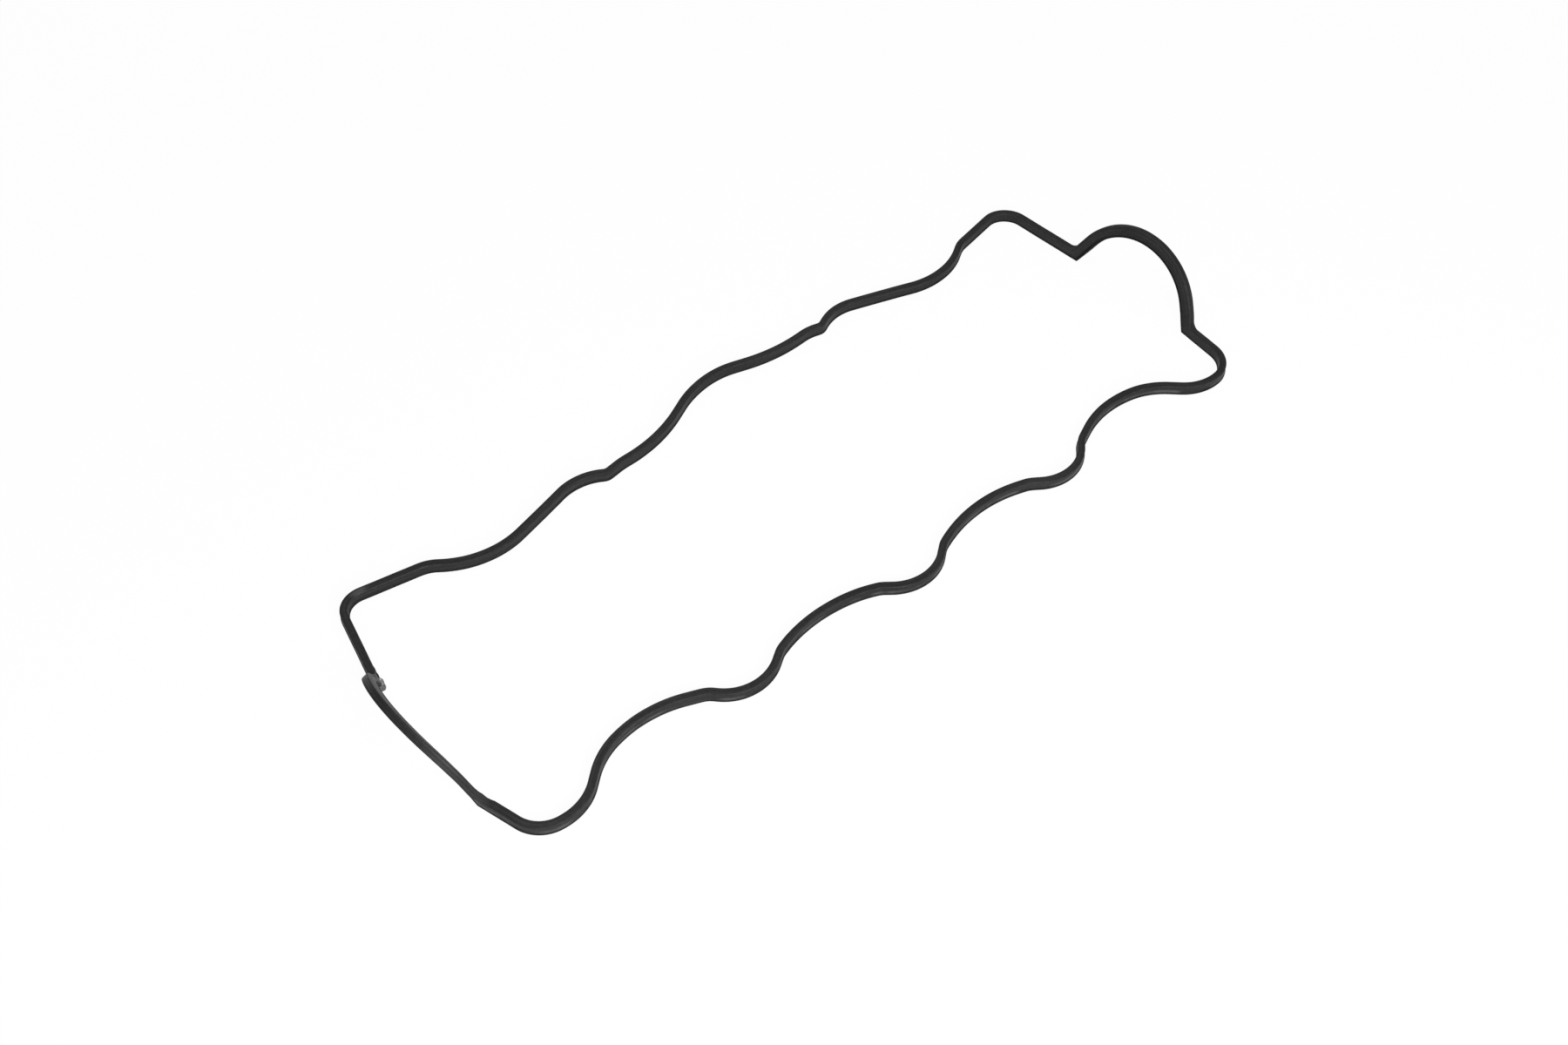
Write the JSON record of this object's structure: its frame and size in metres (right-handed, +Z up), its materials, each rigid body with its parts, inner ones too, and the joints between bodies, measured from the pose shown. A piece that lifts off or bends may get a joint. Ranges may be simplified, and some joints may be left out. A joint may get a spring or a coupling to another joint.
{
  "type": "valve cover gasket",
  "caption": "Moulded rubber valve cover gasket: one closed strip that scallops round the spark plug wells and climbs over a half-moon at each end.",
  "frame": {"origin": "middle of the gasket's footprint, on the surface it lies on", "axes": "+X along the engine, +Y from the spark plug side to the back, +Z up"},
  "size_m": [0.412, 0.15, 0.0335],
  "materials": {
    "rubber": "matte"
  },
  "bodies": {
    "root": {"valve_cover_gasket": "rubber"}
  },
  "joints": []
}
